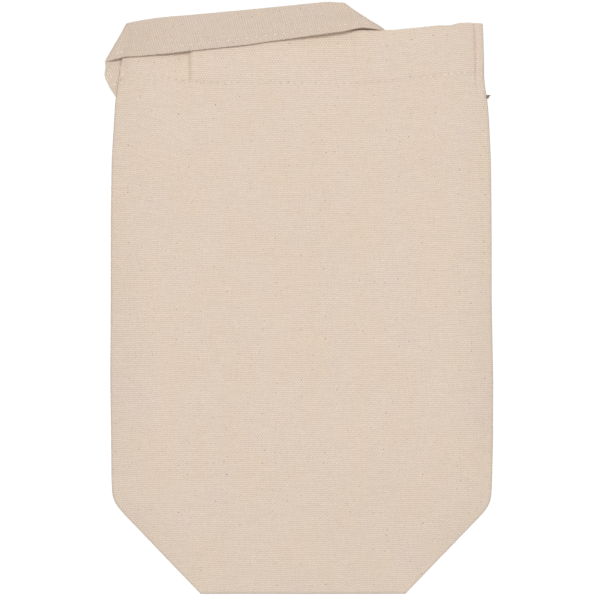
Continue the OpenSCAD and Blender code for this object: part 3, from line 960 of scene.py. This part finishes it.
def rear_leg_place(low, high, mirrored):
    """Gives the place of a leg: up the hem, a tight turn at the mouth and down to a slanted fold."""
    def place(u, v):
        x = blend_values(low.x, high.x, (u + 1) / 2)
        inner = (1 - u) / 2 if mirrored else (u + 1) / 2
        sewn = high.y - low.y
        radius = (loop_top_z - rear_sewn_z) / 2
        over = math.pi * radius
        down = high.y - (loop_low.y + inner * strap_width)
        run = (v + 1) / 2 * (sewn + over + down)
        if run < sewn:
            y, z = low.y + run, rear_sewn_z
        elif run < sewn + over:
            angle = (run - sewn) / radius
            y, z = high.y + radius * math.sin(angle), rear_sewn_z + radius * (1 - math.cos(angle))
        else:
            y = high.y - (run - sewn - over)
            hem_end = high.y - hem_depth
            z = blend_values(loop_top_z, loop_flat_z, ease((hem_end - y) / (hem_end - loop_level_y)))
        y = min(y, base_y + bag_height - sag(x, bag_height) - below_mouth)
        return (x, y, z), ((u + 1) / 2 * strap_width, run)
    return place


def rear_bar_place(u, v):
    """The loop's lower run between its two slanted folds."""
    slant = (u + 1) / 2 * strap_width
    y = blend_values(loop_low.y, loop_low.y + strap_width, (u + 1) / 2)
    x = blend_values(rear_left_low.x + slant, rear_right_high.x - slant, (v + 1) / 2)
    return (x, y, loop_flat_z + STRAP + 0.1 * MM), (y, x)


strap_piece("rear_strap_left_leg", 14, 90, rear_leg_place(rear_left_low, rear_left_high, False), "bag",
            "rear_handle_left_end")
strap_piece("rear_strap_right_leg", 14, 90, rear_leg_place(rear_right_low, rear_right_high, True), "bag",
            "rear_handle_right_end")
strap_piece("rear_strap_lower_run", 14, 60, rear_bar_place, "bag", "rear_handle_loop")

# Floor, light and camera. A pale table, two large soft lamps and an even white world, with the
# camera straight above, as for a catalogue picture of a flat bag.
floor_size = 3
floor_shape = bmesh.new()
bmesh.ops.create_grid(floor_shape, x_segments=1, y_segments=1, size=floor_size)
# Matt white paper. The camera sees it as a glow over a mid grey, so that it is an even white in the
# picture and still takes the bag's shadow
table_white, paper = new_material("white table paper", {"Base Color": linear("#f4f4f4"), "Roughness": 0.9})
seen = add_node(table_white, "ShaderNodeLightPath")
direct = add_node(table_white, "ShaderNodeMath", {"operation": "MAXIMUM"},
                  in_0=seen.outputs["Is Camera Ray"], in_1=seen.outputs["Is Glossy Ray"])
shown = add_node(table_white, "ShaderNodeMath", {"operation": "MAXIMUM"}, in_0=direct,
                 in_1=seen.outputs["Is Transmission Ray"])
glow = add_node(table_white, "ShaderNodeEmission", {"Strength": 0.78})
pale = add_node(table_white, "ShaderNodeBsdfDiffuse", {"Color": linear("#909090")})
lit_paper = add_node(table_white, "ShaderNodeAddShader", in_0=glow, in_1=pale)
either = add_node(table_white, "ShaderNodeMixShader", in_0=shown, in_1=paper, in_2=lit_paper)
table_white.node_tree.links.new(either.outputs[0],
                                table_white.node_tree.nodes["Material Output"].inputs["Surface"])
smooth_object("table", floor_shape, table_white)

world = bpy.data.worlds.new("even white studio")
bpy.context.scene.world = world
world.use_nodes = True
background = world.node_tree.nodes["Background"]
background.inputs["Color"].default_value = (1, 1, 1, 1)
background.inputs["Strength"].default_value = 0.42

for name, at, size, power in (("lamp above the mouth", (0.1, 0.5, 2.0), 0.6, 19.6),
                              ("lamp from the base", (-0.4, -0.8, 1.9), 1.2, 6.0)):
    light = bpy.data.lights.new(name, "AREA")
    light.size = size
    light.energy = power
    lamp = add_object(name, light)
    lamp.location = at
    lamp.rotation_euler = (Vector((0, 0, 0)) - Vector(at)).to_track_quat("-Z", "Y").to_euler()

camera_rise = 0.749
camera_data = bpy.data.cameras.new("camera")
camera_data.lens = 85
camera_data.sensor_width = 36
camera = add_object("camera", camera_data)
camera.location = (0.000437, -0.0011, front_top_z + camera_rise)
bpy.context.scene.camera = camera
bpy.context.scene.view_settings.view_transform = "Standard"
